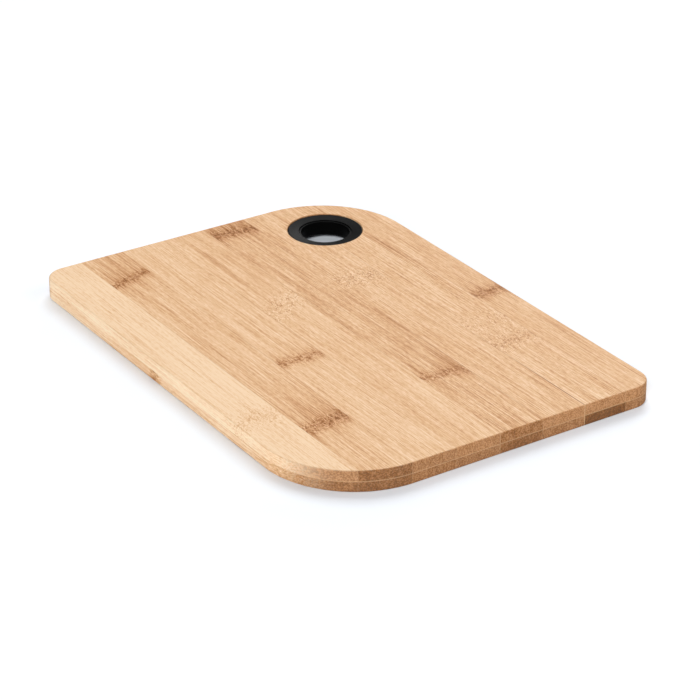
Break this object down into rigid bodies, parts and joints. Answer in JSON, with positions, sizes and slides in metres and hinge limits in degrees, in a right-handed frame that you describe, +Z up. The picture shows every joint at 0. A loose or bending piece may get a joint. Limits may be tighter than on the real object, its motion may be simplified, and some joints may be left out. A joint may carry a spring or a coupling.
{
  "type": "bamboo cutting board",
  "caption": "Small rectangular bamboo cutting board of glued strips, two opposite corners broadly rounded, with a black plastic ring set in one of them as a hanging hole.",
  "frame": {"origin": "centre of the underside, under the middle of the board's length and width", "axes": "+X along the grain and the board's length, away from the ring's end; +Y across the strips, towards the long edge beside the ring; +Z up, out of the upper face"},
  "size_m": [0.24, 0.17, 0.01],
  "materials": {
    "bamboo": "satin oiled",
    "ring": "satin moulded"
  },
  "bodies": {
    "root": {"lower_strip_1": "bamboo", "lower_strip_2": "bamboo", "lower_strip_3": "bamboo", "lower_strip_4": "bamboo", "lower_strip_5": "bamboo", "lower_strip_6": "bamboo", "lower_strip_7": "bamboo", "lower_strip_8": "bamboo", "upper_strip_1": "bamboo", "upper_strip_2": "bamboo", "upper_strip_3": "bamboo", "upper_strip_4": "bamboo", "upper_strip_5": "bamboo", "upper_strip_6": "bamboo", "upper_strip_7": "bamboo", "upper_strip_8": "bamboo", "ring_lower_half": "ring", "ring_upper_half": "ring"}
  },
  "joints": []
}
